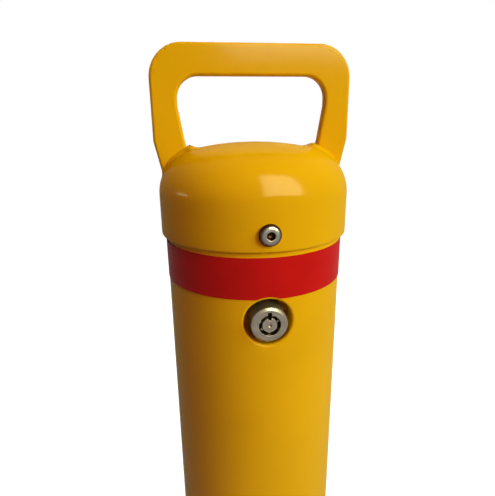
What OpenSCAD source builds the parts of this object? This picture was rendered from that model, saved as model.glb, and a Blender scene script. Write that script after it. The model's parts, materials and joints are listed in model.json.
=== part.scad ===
// Removable locking bollard. A steel post with a domed cap, a lifting handle
// and a key lock stands over a spigot on a bolted base plate. The key turns a
// crank, the crank moves a draw rod, and the rod's slanted slots shoot a bolt
// through the spigot's wall. It is drawn unlocked and seated.
// The origin is the centre of the base plate's underside. +Z is up, the lock
// faces -Y and the handle's plate lies in the XZ plane. Lengths are in
// millimetres.

/* [Post] */
// Height of the dome's top above the ground
post_height = 900; // [700:10:1200]
// Outside diameter of the post tube
post_od = 88.9; // [88:0.1:90]
// Wall of the post tube
post_wall = 3.2; // [2.9:0.1:3.2]
// Width of the reflective band
band_w = 19.4; // [10:0.1:25]
// Distance from the cap's rim down to the band
band_drop = 0.5; // [0.5:0.1:5]

/* [Cap] */
// Wall of the cap
cap_wall = 2; // [1.5:0.1:2.4]
// Height of the cap's straight skirt
skirt_h = 21.3; // [18:0.1:23]
// Radius of the shoulder between skirt and dome
shoulder_r = 21.5; // [15:0.5:23]
// Height of the dome's top above the rim
dome_h = 45.5; // [44.5:0.1:48]
// Height of the cap screws above the rim
cap_screw_h = 9.7; // [8:0.1:12]

/* [Handle] */
// Thickness of the handle's plate
handle_t = 6; // [5:0.5:9]
// Width over the handle
handle_w = 95.5; // [92:0.1:100]
// Height of the handle's top above the cap's rim
handle_h = 89.5; // [85:0.1:95]
// Height of the top bar's section
handle_bar = 14.1; // [10:0.1:16]
// Width of the handle's opening
grip_w = 71.1; // [64:0.1:74]
// Outer corner radius
handle_corner = 15.5; // [10:0.5:18]
// Inner corner radius
grip_corner = 10; // [6:0.5:12]

/* [Lock] */
// Distance from the cap's rim down to the lock's centre
lock_drop = 31.1; // [31:0.1:50]
// Diameter of the lock hole in the tube
lock_hole_d = 22.2; // [20:0.1:24]
// Diameter of the lock's head
lock_head_d = 16.4; // [16:0.1:18]
// How far the lock's face stands proud of the tube
lock_proud = 2.7; // [0:0.1:4]
// Outside diameter of the round keyway
keyway_od = 9.8; // [9.6:0.1:10.2]
// Inside diameter of the round keyway
keyway_id = 6.7; // [6.6:0.1:7.2]
// Radius from the plug's axis to the crank pin
crank_r = 12; // [11:0.5:12.5]

/* [Locking bolt] */
// Height of the bolt above the ground
bolt_h = 80; // [70:1:85]
// Diameter of the bolt
bolt_d = 16; // [12:1:16]
// Travel of the bolt from unlocked to locked
bolt_travel = 12; // [10:0.5:12]

/* [Base] */
// Diameter of the base plate
base_d = 200; // [180:5:240]
// Thickness of the base plate
base_t = 10; // [8:1:12]
// Pitch circle of the anchor holes
anchor_pcd = 150; // [140:5:160]
// Diameter of the anchor holes
anchor_d = 14; // [11:1:18]
// Number of anchor holes
anchor_n = 4; // [3:1:8]
// Outside diameter of the spigot
spigot_od = 76.1; // [76:0.1:77]
// Wall of the spigot
spigot_wall = 3.6; // [3.2:0.1:3.6]
// Height of the spigot above the base plate
spigot_h = 120; // [118:1:122]

/* [Hidden] */
$fn = 96;

// Play between a turned piece and its bore
play = 0.05;
// How far a cut runs past the face that it opens
over = 1;

post_r = post_od / 2;
bore_r = post_r - post_wall;
rim_z = post_height - dome_h;
cap_gap = 0.25;
skirt_r = post_r + cap_gap + cap_wall;
tube_top = rim_z + skirt_h - 1.5;

// Crown of the dome: the circle on the axis that the shoulder runs into
shoulder_x = skirt_r - shoulder_r;
crown_rise = dome_h - skirt_h;
crown_r = (shoulder_x * shoulder_x + crown_rise * crown_rise - shoulder_r * shoulder_r)
    / (2 * (crown_rise - shoulder_r));
crown_z = dome_h - crown_r;
rim_round = 0.9 * cap_wall;

// Handle outline, measured up from the cap's rim
foot_half = 43.9;
foot_h = 28.7;
waist_h = 46.3;
grip_top = handle_h - handle_bar;
grip_half = grip_w / 2;
grip_waist_half = grip_half - 2.6;
grip_foot_half = grip_half - 5.1;
grip_foot_h = 36;
grip_bend_h = 62;
foot_root_h = 18;
corner_steps = 9;

// Weld bead on the handle's feet, widest at the inner corners
bead_leg = 3;
bead_inner = 5;
bead_toe = 1.2;
bead_sunk = 0.5;
bead_corner_steps = 4;
bead_side_steps = 10;

// Lock, measured along +Y from the post's axis
lock_z = rim_z - lock_drop;
face_y = -post_r - lock_proud;
cup_floor_y = -30;
cup_back_y = -26;
cup_wall = 3;
shank_end_y = -20;
shank_r = 7.5;
keyway_end_y = face_y + 8;
barrel_r = 6;
stub_r = 4;
stub_flat = 6.4;
cam_screw_d = 4;
lock_nut_af = 20;
lock_nut_t = 4;
cam_front_y = -19.5;
cam_back_y = -17;
yoke_front_y = -12;
yoke_back_y = -8;
crank_pin_d = 6;
crank_end_y = -7.4;
crank_head_r = 4;
crank_head_t = 1;
key_pins = 7;

// Draw rod. Its travel follows from the crank's quarter turn
rod_r = 5;
rod_travel = 2 * crank_r * sin(45);
crank_rise = crank_r * sin(45);
yoke_z = lock_z + crank_rise;
rod_top = lock_z + 6;
yoke_low = lock_z - 18;
yoke_r = 9;
cross_pin_d = 4;
cross_pin_z = yoke_low + 6;
collar_top_z = lock_z + 2.3;
yoke_top = yoke_z + 9;
yoke_slot_h = crank_pin_d + 1;
guide_top = lock_z - 45;
guide_t = 6;
spring_len = 70;
spring_turns = 10;
spring_mean_r = 8.3;
spring_wire_r = 0.9;
spring_top = guide_top - guide_t - spring_wire_r;
spring_low = guide_top - guide_t - spring_len + spring_wire_r;
collar_z = guide_top - guide_t - spring_len;
collar_h = 10;
collar_r = 11;
set_screw_d = 5;
set_screw_z = collar_z - collar_h / 2;

// Latch at the post's foot
carrier_z = base_t + spigot_h + 4;
carrier_t = 6;
bar_front = [16, 29];
bar_rear = [-30, -16];
bar_half_y = 12;
bar_low = bolt_h - 14;
drive_pin_d = 6;
drive_pin_x = -bolt_travel / 2;
leg_in = 9;
leg_out = 12;
leg_half_x = 13.5;
leg_low = bolt_h - 8;
bridge_z = bolt_h + 28;
bridge_t = 6;
rod_nut_af = 17;
rod_nut_t = 8;
bolt_nose_x = 28;
bolt_tail_x = -31;
slot_play = 0.15;

// Fixings
cap_screw_d = 5;
cap_screw_z = rim_z + cap_screw_h;
cap_screw_turns = [0, 120, 240];
screw_head_r = 4.75;
screw_head_h = 2.8;
screw_len = 12;
socket_af = 3;
weld_nut_af = 8;
weld_nut_t = 4;

yellow = [0.93, 0.68, 0.02];
steel = [0.62, 0.63, 0.65];
zinc = [0.72, 0.73, 0.75];
chrome = [0.78, 0.77, 0.75];

// Turns a shape that is drawn along +Z so that it points along +Y
module along_y() {
    rotate([-90, 0, 0])
    children();
}

// Sets a shape that is drawn along +Z on the lock's axis, pointing inwards
module on_lock_axis() {
    translate([0, 0, lock_z])
    along_y()
    children();
}

// Sets a shape that is drawn along +Z at the three cap screws, pointing outwards
module at_cap_screws() {
    for (turn = cap_screw_turns)
    rotate([0, 0, turn])
    translate([0, 0, cap_screw_z])
    rotate([90, 0, 0])
    children();
}

// Round pin, rod or hole from one height to another
module bar(r, low, high) {
    translate([0, 0, low])
    cylinder(h = high - low, r = r);
}

// Pipe from one height to another
module pipe(r_out, r_in, low, high) {
    difference() {
        bar(r_out, low, high);
        bar(r_in, low - over, high + over);
    }
}

// Six-sided bar, measured across its flats
module hex_bar(across, low, high) {
    translate([0, 0, low])
    cylinder(h = high - low, d = across / cos(30), $fn = 6);
}

// Half section of the dome, drawn in by inset, with its rim at y = 0
module dome_half(inset) {
    crown_in = crown_r - inset;
    reach = 2 * crown_r;
    lean = atan2(shoulder_x, skirt_h - crown_z);
    intersection() {
        translate([0, -over])
        square([skirt_r + over, dome_h + 2 * over]);
        union() {
            translate([0, -over])
            square([skirt_r - inset, skirt_h + over]);
            translate([shoulder_x, skirt_h])
            circle(r = shoulder_r - inset);
            intersection() {
                translate([0, crown_z])
                circle(r = crown_in, $fn = 360);
                translate([0, crown_z])
                polygon([[0, 0], [reach * tan(lean), reach], [0, reach]]);
            }
        }
    }
}

// Solid that fills the cap's outer form, used to cut the handle's feet
module dome_solid() {
    translate([0, 0, rim_z])
    rotate_extrude()
    dome_half(0);
}

module cap() {
    color(yellow)
    difference() {
        translate([0, 0, rim_z])
        rotate_extrude()
        difference() {
            dome_half(0);
            dome_half(cap_wall);
            translate([0, -2 * over])
            square([2 * skirt_r, 2 * over]);
            translate([skirt_r - rim_round, 0])
            difference() {
                square(2 * rim_round, center = true);
                translate([0, rim_round])
                circle(r = rim_round);
                translate([-2 * rim_round, -rim_round])
                square([2 * rim_round, 3 * rim_round]);
            }
        }
        at_cap_screws()
        bar(cap_screw_d / 2 + 0.25, post_r - 2, skirt_r + over);
    }
}

module base_plate() {
    bevel = 1.5;
    color(yellow)
    difference() {
        rotate_extrude()
        polygon([[0, 0], [base_d / 2, 0], [base_d / 2, base_t - bevel],
            [base_d / 2 - bevel, base_t], [0, base_t]]);
        for (i = [0 : anchor_n - 1])
        rotate([0, 0, 45 + i * 360 / anchor_n])
        translate([anchor_pcd / 2, 0, 0])
        bar(anchor_d / 2, -over, base_t + over);
    }
}

module spigot() {
    r_out = spigot_od / 2;
    r_in = r_out - spigot_wall;
    top = base_t + spigot_h;
    bevel = 1.5;
    color(yellow)
    difference() {
        rotate_extrude()
        polygon([[r_in, base_t], [r_out, base_t], [r_out, top - bevel],
            [r_out - bevel, top], [r_in, top]]);
        translate([0, 0, bolt_h])
        rotate([0, 90, 0])
        bar(bolt_d / 2 + 0.6, r_in - 6, r_out + 2);
    }
}

// Hollow fillet between the spigot and the plate
module spigot_weld() {
    r_in = spigot_od / 2 + play;
    leg = 2.4;
    toe = 0.4;
    color(yellow)
    rotate_extrude()
    difference() {
        translate([r_in, base_t])
        square(leg);
        translate([r_in + leg, base_t + leg])
        circle(r = leg - toe);
    }
}

module centring_rings() {
    r_in = spigot_od / 2 + play;
    r_out = bore_r - 0.35;
    h = 10;
    bevel = 1.2;
    color("black")
    for (low = [base_t + 14, base_t + spigot_h - 18])
    translate([0, 0, low])
    rotate_extrude()
    polygon([[r_in, 0], [r_out - bevel, 0], [r_out, bevel], [r_out, h - bevel],
        [r_out - bevel, h], [r_in, h]]);
}

module post_tube() {
    bevel = 1;
    color(yellow)
    difference() {
        rotate_extrude()
        polygon([[bore_r + bevel, base_t], [post_r, base_t], [post_r, tube_top],
            [bore_r, tube_top], [bore_r, base_t + bevel]]);
        on_lock_axis()
        bar(lock_hole_d / 2, -post_r - over, -bore_r / 2);
        at_cap_screws()
        bar(cap_screw_d / 2 + 0.25, bore_r - 3, post_r + over);
    }
}

module reflective_band() {
    top = rim_z - band_drop;
    color([0.75, 0.1, 0.1])
    pipe(post_r + 0.35, post_r + play, top - band_w, top);
}

// Points of a round corner, from one direction to another about its centre
function corner(centre, r, from, to) =
    [for (i = [0 : corner_steps])
        let (a = from + (to - from) * i / corner_steps)
        centre + r * [cos(a), sin(a)]];

// Right half of the handle's outline, drawn in by inset, with y up from the rim
function outer_half(inset) =
    let (
        half = handle_w / 2 - inset,
        slope = (handle_w / 2 - foot_half) / (waist_h - foot_h),
        r = handle_corner - inset
    )
    concat(
        [[foot_half - slope * (foot_h - foot_root_h) - inset, foot_root_h], [half, waist_h]],
        corner([half - r, handle_h - inset - r], r, 0, 90)
    );
function inner_half(inset) =
    let (r = grip_corner + inset)
    concat(
        [[grip_foot_half + inset, foot_root_h], [grip_foot_half + inset, grip_foot_h],
            [grip_waist_half + inset, waist_h], [grip_half + inset, grip_bend_h]],
        corner([grip_half - grip_corner, grip_top - grip_corner], r, 0, 90)
    );
function flip(points) = [for (i = [len(points) - 1 : -1 : 0]) [-points[i][0], points[i][1]]];
function back_to_front(points) = [for (i = [len(points) - 1 : -1 : 0]) points[i]];

// Whole outline, up the outside, over the top and back round the grip
function handle_outline(inset) =
    concat(
        outer_half(inset), flip(outer_half(inset)),
        back_to_front(flip(inner_half(inset))), back_to_front(inner_half(inset))
    );

// Flat plate, its feet cut to the dome
module handle() {
    color(yellow)
    difference() {
        translate([0, handle_t / 2, rim_z])
        rotate([90, 0, 0])
        linear_extrude(handle_t)
        polygon(handle_outline(0));
        dome_solid();
    }
}

// Height of the cap's outer surface above the rim, at radius r
function dome_y(r) =
    let (
        lean = atan2(shoulder_x, skirt_h - crown_z),
        join = crown_r * sin(lean)
    )
    r < join
        ? crown_z + sqrt(crown_r * crown_r - r * r)
        : skirt_h + sqrt(max(0, shoulder_r * shoulder_r - pow(r - shoulder_x, 2)));

// Leg length of the bead, which thins out where the plate meets the shoulder
function bead_at(x) =
    let (start = foot_half - 7, inner_end = grip_foot_half + 3)
    x < inner_end ? bead_inner + (bead_leg - bead_inner) * (x - grip_foot_half) / (inner_end - grip_foot_half)
    : x < start ? bead_leg
    : bead_leg + (bead_toe - bead_leg) * (x - start) / (foot_half - start);

// Stations round one foot: [x, y, direction of the outward normal]
function foot_stations() =
    let (
        x0 = grip_foot_half,
        x1 = foot_half,
        y1 = handle_t / 2,
        sides = bead_side_steps,
        turn = 90 / bead_corner_steps
    )
    concat(
        [for (i = [0 : sides]) [x0 + (x1 - x0) * i / sides, -y1, -90]],
        [for (i = [1 : bead_corner_steps]) [x1, -y1, -90 + i * turn]],
        [for (i = [0 : bead_corner_steps]) [x1, y1, i * turn]],
        [for (i = [1 : sides]) [x1 + (x0 - x1) * i / sides, y1, 90]],
        [for (i = [1 : bead_corner_steps]) [x0, y1, 90 + i * turn]],
        [for (i = [0 : bead_corner_steps - 1]) [x0, -y1, 180 + i * turn]]
    );

// Section of the bead at one station: root, toe on the dome, crown, toe on the plate
function bead_ring(s) =
    let (
        leg = bead_at(s[0]),
        out = [cos(s[2]), sin(s[2])],
        foot = [s[0], s[1]],
        root = foot - bead_sunk * out,
        toe = foot + leg * out,
        mid = foot + 0.45 * leg * out,
        root_y = dome_y(norm(foot)),
        toe_y = dome_y(norm(toe))
    )
    [
        [root[0], root[1], root_y - bead_sunk],
        [toe[0], toe[1], toe_y - 0.3 * bead_sunk],
        [mid[0], mid[1], (root_y + toe_y) / 2 + 0.55 * leg],
        [root[0], root[1], root_y + leg]
    ];

module foot_bead() {
    rings = [for (s = foot_stations()) bead_ring(s)];
    n = len(rings);
    points = [for (ring = rings) for (p = ring) p];
    faces = [for (i = [0 : n - 1]) for (k = [0 : 3])
        let (j = (i + 1) % n, m = (k + 1) % 4)
        [i * 4 + k, j * 4 + k, j * 4 + m, i * 4 + m]];
    polyhedron(points, faces);
}

module handle_welds() {
    color(yellow)
    translate([0, 0, rim_z]) {
        foot_bead();
        mirror([1, 0, 0])
        foot_bead();
    }
}

// Button head with a hex socket on a plain shank, its seat at z = 0
module button_screw(shank_r, length, head_r, head_h, socket) {
    crown = (head_r * head_r + pow(head_h - 0.6, 2)) / (2 * (head_h - 0.6));
    difference() {
        union() {
            bar(shank_r, -length, 0.1);
            rotate_extrude()
            intersection() {
                square([head_r, head_h]);
                translate([0, head_h - crown])
                circle(r = crown);
            }
        }
        hex_bar(socket, 0.6 * head_h - 0.5, head_h + over);
    }
}

module cap_screws() {
    color(chrome)
    at_cap_screws()
    translate([0, 0, skirt_r])
    button_screw(cap_screw_d / 2 - play, screw_len, screw_head_r, screw_head_h, socket_af);
}

module cap_nuts() {
    corner = weld_nut_af / 2 / cos(30);
    seat = sqrt(bore_r * bore_r - corner * corner) - play;
    color(zinc)
    at_cap_screws()
    difference() {
        hex_bar(weld_nut_af, seat - weld_nut_t, seat);
        bar(cap_screw_d / 2, 0, bore_r);
    }
}

module lock_sleeve() {
    color(yellow)
    difference() {
        intersection() {
            on_lock_axis()
            bar(lock_hole_d / 2 + cup_wall, -bore_r, cup_back_y);
            bar(bore_r - play, lock_z - 40, lock_z + 40);
        }
        on_lock_axis()
        bar(lock_hole_d / 2, -post_r, cup_floor_y);
        on_lock_axis()
        bar(shank_r + play, -post_r, 0);
    }
}

module lock_body() {
    bevel = 1;
    head_r = lock_head_d / 2;
    notch_w = 1.8;
    notch_r = 6.1;
    color(chrome)
    on_lock_axis()
    difference() {
        rotate_extrude()
        polygon([[0, face_y], [head_r - bevel, face_y], [head_r, face_y + bevel],
            [head_r, cup_floor_y], [shank_r, cup_floor_y], [shank_r, shank_end_y],
            [0, shank_end_y]]);
        bar(keyway_od / 2, face_y - over, keyway_end_y + over);
        bar(barrel_r, keyway_end_y, over);
        translate([-notch_w / 2, -notch_r, face_y - over])
        cube([notch_w, notch_r, keyway_end_y - face_y + over]);
    }
}

module lock_nut() {
    color(zinc)
    on_lock_axis()
    difference() {
        hex_bar(lock_nut_af, cup_back_y, cup_back_y + lock_nut_t);
        bar(shank_r + play, -post_r, 0);
    }
}

module lock_plug() {
    post_front = face_y + 0.3;
    barrel_front = keyway_end_y + play;
    dimple_r = 0.9;
    groove_w = 1.5;
    color(chrome)
    on_lock_axis()
    difference() {
        union() {
            bar(keyway_id / 2, post_front, barrel_front + over);
            bar(barrel_r - play, barrel_front, shank_end_y - 2);
            intersection() {
                bar(stub_r, shank_end_y - 3, cam_back_y - play);
                translate([-stub_flat / 2, -stub_r, shank_end_y - 4])
                cube([stub_flat, 2 * stub_r, 10]);
            }
        }
        bar(dimple_r, post_front - over, post_front + 0.8);
        translate([-groove_w / 2, -keyway_id, post_front - over])
        cube([groove_w, keyway_id - 2.3, keyway_end_y - post_front]);
        bar(cam_screw_d / 2 + play, cup_floor_y, 0);
    }
}

module lock_pins() {
    pin_circle = (keyway_od + keyway_id) / 4;
    color(chrome)
    on_lock_axis()
    for (i = [0 : key_pins - 1])
    rotate([0, 0, (i + 0.5) * 360 / key_pins - 90])
    translate([pin_circle, 0, 0])
    bar(0.6, face_y + 2.2, keyway_end_y + play);
}

// Crank lever, at rest with its pin up and towards +X
module lock_cam() {
    hub_r = 7.2;
    tip_r = 5;
    color(steel)
    on_lock_axis()
    difference() {
        union() {
            bar(hub_r, cam_front_y, cam_back_y);
            rotate([0, 0, -45])
            translate([0, -tip_r, cam_front_y])
            cube([crank_r, 2 * tip_r, cam_back_y - cam_front_y]);
            rotate([0, 0, -45])
            translate([crank_r, 0, 0])
            bar(tip_r, cam_front_y, cam_back_y);
        }
        intersection() {
            bar(stub_r + play, cam_front_y - over, cam_back_y + over);
            translate([-stub_flat / 2 - play, -stub_r - over, cam_front_y - 2 * over])
            cube([stub_flat + 2 * play, 2 * stub_r + 2 * over, 10]);
        }
        rotate([0, 0, -45])
        translate([crank_r, 0, 0])
        bar(crank_pin_d / 2 + play, cam_front_y - over, cam_back_y + over);
    }
}

module crank_pin() {
    color(steel)
    on_lock_axis()
    rotate([0, 0, -45])
    translate([crank_r, 0, 0]) {
        bar(crank_pin_d / 2, cam_front_y - 0.1, crank_end_y);
        bar(crank_head_r, cam_front_y - crank_head_t, cam_front_y);
    }
}

module cam_screw() {
    color(zinc)
    on_lock_axis()
    translate([0, 0, cam_back_y])
    button_screw(cam_screw_d / 2, 8, 4.5, 2.4, 2.5);
}

module upper_guide() {
    color(steel)
    pipe(bore_r - play, rod_r + play, guide_top - guide_t, guide_top);
}

// Disc across the post with two hanging bars, bored for the locking bolt
module latch_carrier() {
    color(steel)
    difference() {
        union() {
            bar(bore_r - play, carrier_z, carrier_z + carrier_t);
            for (bar_x = [bar_front, bar_rear])
            translate([bar_x[0], -bar_half_y, bar_low])
            cube([bar_x[1] - bar_x[0], 2 * bar_half_y, carrier_z - bar_low + over]);
        }
        bar(rod_r + play, carrier_z - over, carrier_z + carrier_t + over);
        translate([0, 0, bolt_h])
        rotate([0, 90, 0])
        bar(bolt_d / 2 + 2 * play, -post_r, post_r);
    }
}

module draw_rod() {
    color(steel)
    difference() {
        bar(rod_r, bridge_z, rod_top);
        translate([0, 0, cross_pin_z])
        rotate([0, 90, 0])
        bar(cross_pin_d / 2, -2 * rod_r, 2 * rod_r);
    }
}

// Collar on the rod and a plate with a level slot for the crank pin
module rod_yoke() {
    slot_from = crank_rise - 1;
    slot_to = crank_r + 1;
    color(steel)
    difference() {
        union() {
            bar(yoke_r, yoke_low, collar_top_z);
            translate([-yoke_r, yoke_front_y, yoke_low])
            cube([slot_to + yoke_r + 6, yoke_back_y - yoke_front_y, yoke_top - yoke_low]);
            translate([-yoke_r, yoke_front_y, yoke_low])
            cube([2 * yoke_r, -yoke_front_y, collar_top_z - yoke_low]);
        }
        bar(rod_r + play, yoke_low - over, collar_top_z + over);
        translate([0, 0, cross_pin_z])
        rotate([0, 90, 0])
        bar(cross_pin_d / 2, -yoke_r - over, yoke_r + over);
        translate([slot_from, yoke_front_y - over, yoke_z - yoke_slot_h / 2])
        cube([slot_to - slot_from, 6, yoke_slot_h]);
        for (x = [slot_from, slot_to])
        translate([x, 0, yoke_z])
        along_y()
        bar(yoke_slot_h / 2, yoke_front_y - over, yoke_back_y + over);
    }
}

module yoke_pin() {
    color(zinc)
    translate([0, 0, cross_pin_z])
    rotate([0, 90, 0])
    bar(cross_pin_d / 2 - play, -yoke_r, yoke_r);
}

// Points of the spring's wire: closed end turns and even turns between them
function spring_z(u) =
    let (closed = 1 / spring_turns, pitch = 2 * spring_wire_r / (spring_low - spring_top))
    u < closed ? -pitch * u / closed
    : u > 1 - closed ? 1 + pitch * (1 - u) / closed
    : -pitch + (1 + 2 * pitch) * (u - closed) / (1 - 2 * closed);

module rod_spring() {
    steps = spring_turns * 20;
    sides = 8;
    rings = [for (i = [0 : steps])
        let (u = i / steps, a = 360 * spring_turns * u,
            z = spring_low + (spring_top - spring_low) * spring_z(u))
        [for (k = [0 : sides - 1])
            let (w = 360 * k / sides, r = spring_mean_r + spring_wire_r * cos(w))
            [r * cos(a), r * sin(a), z + spring_wire_r * sin(w)]]];
    points = [for (ring = rings) for (p = ring) p];
    walls = [for (i = [0 : steps - 1]) for (k = [0 : sides - 1])
        let (m = (k + 1) % sides)
        [i * sides + k, i * sides + m, (i + 1) * sides + m, (i + 1) * sides + k]];
    color(steel)
    polyhedron(points, concat([[for (k = [sides - 1 : -1 : 0]) k]], walls,
        [[for (k = [0 : sides - 1]) steps * sides + k]]));
}

module spring_collar() {
    color(zinc)
    difference() {
        pipe(collar_r, rod_r + play, collar_z - collar_h, collar_z);
        translate([0, 0, set_screw_z])
        along_y()
        bar(set_screw_d / 2, -2 * collar_r, 0);
    }
}

module collar_screw() {
    color(steel)
    translate([0, 0, set_screw_z])
    along_y()
    difference() {
        bar(set_screw_d / 2 - play, -collar_r + 0.5, -rod_r - play);
        hex_bar(set_screw_d / 2, -collar_r - over, -collar_r + 3);
    }
}

// Fork over the locking bolt, with a slanted slot in each leg
module bolt_stirrup() {
    slot_r = drive_pin_d / 2 + slot_play;
    slant = atan2(rod_travel, bolt_travel);
    slot_len = norm([bolt_travel, rod_travel]);
    color(steel)
    difference() {
        translate([-leg_half_x, -leg_out, leg_low])
        cube([2 * leg_half_x, 2 * leg_out, bridge_z + bridge_t - leg_low]);
        translate([-leg_half_x - over, -leg_in, leg_low - over])
        cube([2 * leg_half_x + 2 * over, 2 * leg_in, bridge_z - leg_low + over]);
        bar(rod_r + play, bridge_z - over, bridge_z + bridge_t + over);
        translate([drive_pin_x, 0, bolt_h])
        rotate([0, -slant, 0]) {
            translate([0, -leg_out - over, -slot_r])
            cube([slot_len, 2 * leg_out + 2 * over, 2 * slot_r]);
            for (x = [0, slot_len])
            translate([x, 0, 0])
            along_y()
            bar(slot_r, -leg_out - over, leg_out + over);
        }
    }
}

module rod_nut() {
    low = bridge_z + bridge_t;
    color(zinc)
    difference() {
        hex_bar(rod_nut_af, low, low + rod_nut_t);
        bar(rod_r + play, low - over, low + rod_nut_t + over);
    }
}

module locking_bolt() {
    r = bolt_d / 2;
    bevel = 2;
    color(zinc)
    difference() {
        translate([0, 0, bolt_h])
        rotate([0, 90, 0])
        rotate_extrude()
        polygon([[0, bolt_tail_x], [r - 1, bolt_tail_x], [r, bolt_tail_x + 1],
            [r, bolt_nose_x - bevel], [r - bevel, bolt_nose_x], [0, bolt_nose_x]]);
        translate([drive_pin_x, 0, bolt_h])
        along_y()
        bar(drive_pin_d / 2 + play, -bolt_d, bolt_d);
    }
}

module drive_pin() {
    color(steel)
    translate([drive_pin_x, 0, bolt_h])
    along_y()
    bar(drive_pin_d / 2, -leg_out - 0.5, leg_out + 0.5);
}

base_plate();
spigot();
spigot_weld();
centring_rings();
post_tube();
reflective_band();
cap();
handle();
handle_welds();
cap_screws();
cap_nuts();
lock_sleeve();
lock_body();
lock_nut();
lock_plug();
lock_pins();
lock_cam();
crank_pin();
cam_screw();
upper_guide();
latch_carrier();
draw_rod();
rod_yoke();
yoke_pin();
rod_spring();
spring_collar();
collar_screw();
bolt_stirrup();
rod_nut();
locking_bolt();
drive_pin();
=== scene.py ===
"""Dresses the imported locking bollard: coated steel, reflective film, a nickel-plated lock and its works.

The post stands on the ground at the origin, +Z up, with its lock facing -Y. All lengths are in metres.
"""

import json
import math

import bmesh
import bpy
import numpy as np
from mathutils import Matrix, Vector

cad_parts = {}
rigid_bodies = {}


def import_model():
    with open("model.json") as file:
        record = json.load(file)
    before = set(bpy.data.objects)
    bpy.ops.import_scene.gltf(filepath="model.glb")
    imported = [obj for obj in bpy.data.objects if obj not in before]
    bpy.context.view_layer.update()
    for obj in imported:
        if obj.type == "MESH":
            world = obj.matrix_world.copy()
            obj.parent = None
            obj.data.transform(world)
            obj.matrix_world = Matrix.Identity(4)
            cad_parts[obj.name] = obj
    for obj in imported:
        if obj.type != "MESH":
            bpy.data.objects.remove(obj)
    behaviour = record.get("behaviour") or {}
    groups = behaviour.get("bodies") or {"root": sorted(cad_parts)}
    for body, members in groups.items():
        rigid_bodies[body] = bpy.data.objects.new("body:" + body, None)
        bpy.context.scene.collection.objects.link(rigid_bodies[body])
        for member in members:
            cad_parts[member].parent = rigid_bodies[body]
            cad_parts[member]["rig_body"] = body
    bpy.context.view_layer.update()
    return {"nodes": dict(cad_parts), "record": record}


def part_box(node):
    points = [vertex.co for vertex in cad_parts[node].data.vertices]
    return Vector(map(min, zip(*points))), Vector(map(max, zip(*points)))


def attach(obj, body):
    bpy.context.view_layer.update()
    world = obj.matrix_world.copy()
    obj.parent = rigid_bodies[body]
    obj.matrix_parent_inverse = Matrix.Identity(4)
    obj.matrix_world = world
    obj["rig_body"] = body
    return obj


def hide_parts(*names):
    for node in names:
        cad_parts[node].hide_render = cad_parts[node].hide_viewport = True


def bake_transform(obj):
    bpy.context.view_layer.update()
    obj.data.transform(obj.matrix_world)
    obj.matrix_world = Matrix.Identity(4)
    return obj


bl_info = {
    "name": "Locking bollard finish",
    "version": (1, 0, 0),
    "blender": (4, 5, 0),
    "location": "3D View > Sidebar > Bollard",
    "description": "Builds the finished surfaces of a removable locking bollard around its packed parts",
    "category": "Object",
}

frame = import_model()

MM = 0.001
AXIS_DISTANCE = "axis_distance"
MERGE_DISTANCE = 1e-7
CAD_MERGE_DISTANCE = 2e-6
FLAT_ANGLE = math.radians(1)
EDGE_ANGLE = math.radians(35)

TUBE_LOW, TUBE_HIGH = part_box("post_tube")
CAP_LOW, CAP_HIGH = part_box("cap")
BAND_LOW, BAND_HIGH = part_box("reflective_band")
HANDLE_LOW, HANDLE_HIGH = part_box("handle")
LOCK_LOW, LOCK_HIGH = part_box("lock_body")
SCREW_LOW, SCREW_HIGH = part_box("cap_screws")
SPRING_LOW, SPRING_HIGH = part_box("rod_spring")


def length(name, description, default):
    """A size in metres, as a property."""
    return bpy.props.FloatProperty(
        name=name, description=description, default=default, unit="LENGTH", precision=5, min=0.0
    )


def degrees(name, description, default):
    """An angle, as a property. Its default is given in degrees."""
    return bpy.props.FloatProperty(
        name=name, description=description, default=math.radians(default), subtype="ANGLE"
    )


def number(name, description, default):
    """A plain number, as a property."""
    return bpy.props.FloatProperty(name=name, description=description, default=default)


def colour(name, description, default):
    """A surface colour, as a property."""
    return bpy.props.FloatVectorProperty(
        name=name, description=description, default=default, size=3, subtype="COLOR", min=0.0, max=1.0
    )


class BollardSizes(bpy.types.PropertyGroup):
    """Sizes of the post that the modelled pieces follow."""

    tube_radius: length("Tube radius", "Outside radius of the post tube", TUBE_HIGH.x)
    tube_wall: length("Tube wall", "Wall thickness of the post tube", 3.2 * MM)
    hole_radius: length("Lock hole radius", "Radius of the hole that the lock sits in", 11.1 * MM)
    hole_lip: length("Lock hole lip", "Radius of the rolled edge round the lock hole", 1.2 * MM)
    lock_height: length(
        "Lock height", "Height of the lock's axis above the ground", (LOCK_LOW.z + LOCK_HIGH.z) / 2
    )
    film: length("Film thickness", "Thickness of the reflective film", 0.3 * MM)
    cap_wall: length("Cap wall", "Thickness of the pressed cap", 2.0 * MM)
    cap_skirt: length("Cap skirt", "Height of the cap's straight skirt", 21.3 * MM)
    cap_shoulder: length("Cap shoulder", "Radius between the skirt and the dome", 21.5 * MM)
    cap_rim: length("Cap rim", "Radius of the rounded lower rim", 1.3 * MM)
    cap_lift: length("Cap lift", "Yellow strip of the tube that shows under the cap", 1.6 * MM)
    plate: length("Handle plate", "Thickness of the handle's plate", HANDLE_HIGH.y - HANDLE_LOW.y)
    plate_edge: length("Handle edge", "Radius of the plate's rounded edges", 1.5 * MM)
    bar_height: length("Handle bar", "Height of the handle's top bar", 14.1 * MM)
    outer_corner: length("Outer corner", "Radius of the handle's outer corners", 15.5 * MM)
    inner_corner: length("Inner corner", "Radius of the grip's corners", 10 * MM)
    grip_width: length("Grip width", "Width of the handle's opening", 71.1 * MM)
    spring_wire: length("Spring wire", "Radius of the spring's wire", 0.9 * MM)
    spring_turns: bpy.props.IntProperty(
        name="Spring turns", description="Turns of the rod's spring", default=10, min=3
    )


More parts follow.
